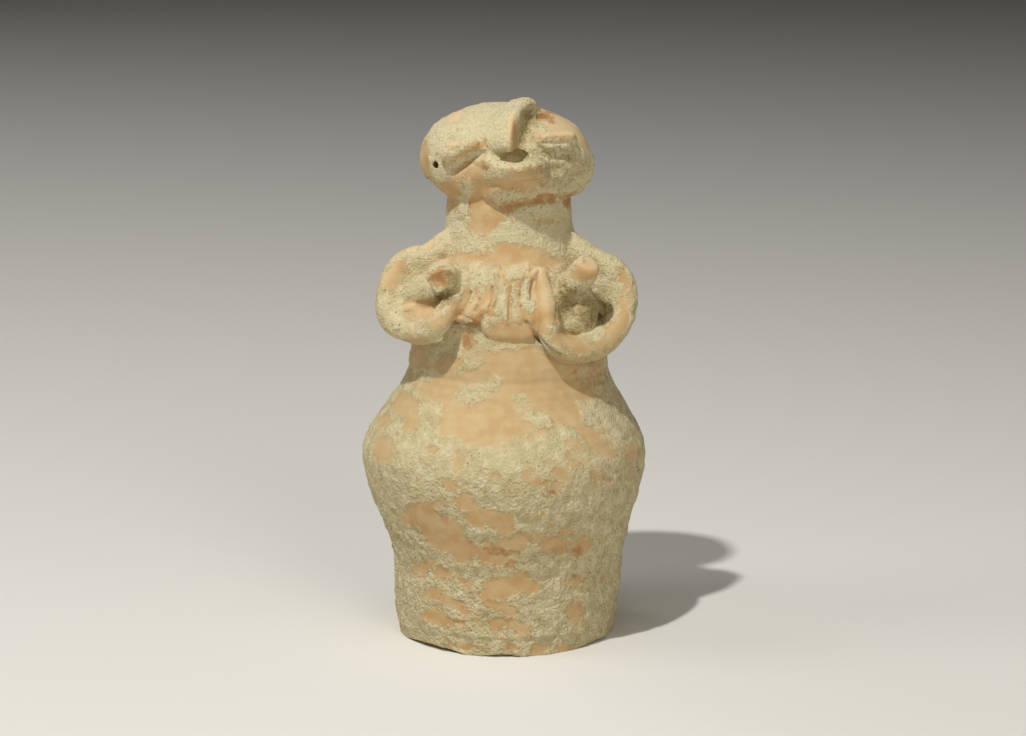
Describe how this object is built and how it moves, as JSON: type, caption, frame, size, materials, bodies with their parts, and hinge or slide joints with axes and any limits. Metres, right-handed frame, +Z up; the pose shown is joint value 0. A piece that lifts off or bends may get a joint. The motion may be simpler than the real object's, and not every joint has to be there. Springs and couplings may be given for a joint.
{
  "type": "terracotta fertility figurine",
  "caption": "Hollow hand-made clay idol: a bell-shaped thrown body open underneath, looped arms, hands on the breasts, and a broad head with lifted face.",
  "frame": {"origin": "middle of the foot, on the surface that the figurine stands on", "axes": "+Z up, the figure faces -Y, its right side is at -X"},
  "size_m": [0.0992, 0.0992, 0.1901],
  "materials": {
    "terracotta": "matt unglazed fired clay, mostly under a rough greenish cream burial crust"
  },
  "bodies": {
    "root": {"fertility_figurine": "terracotta"}
  },
  "joints": []
}
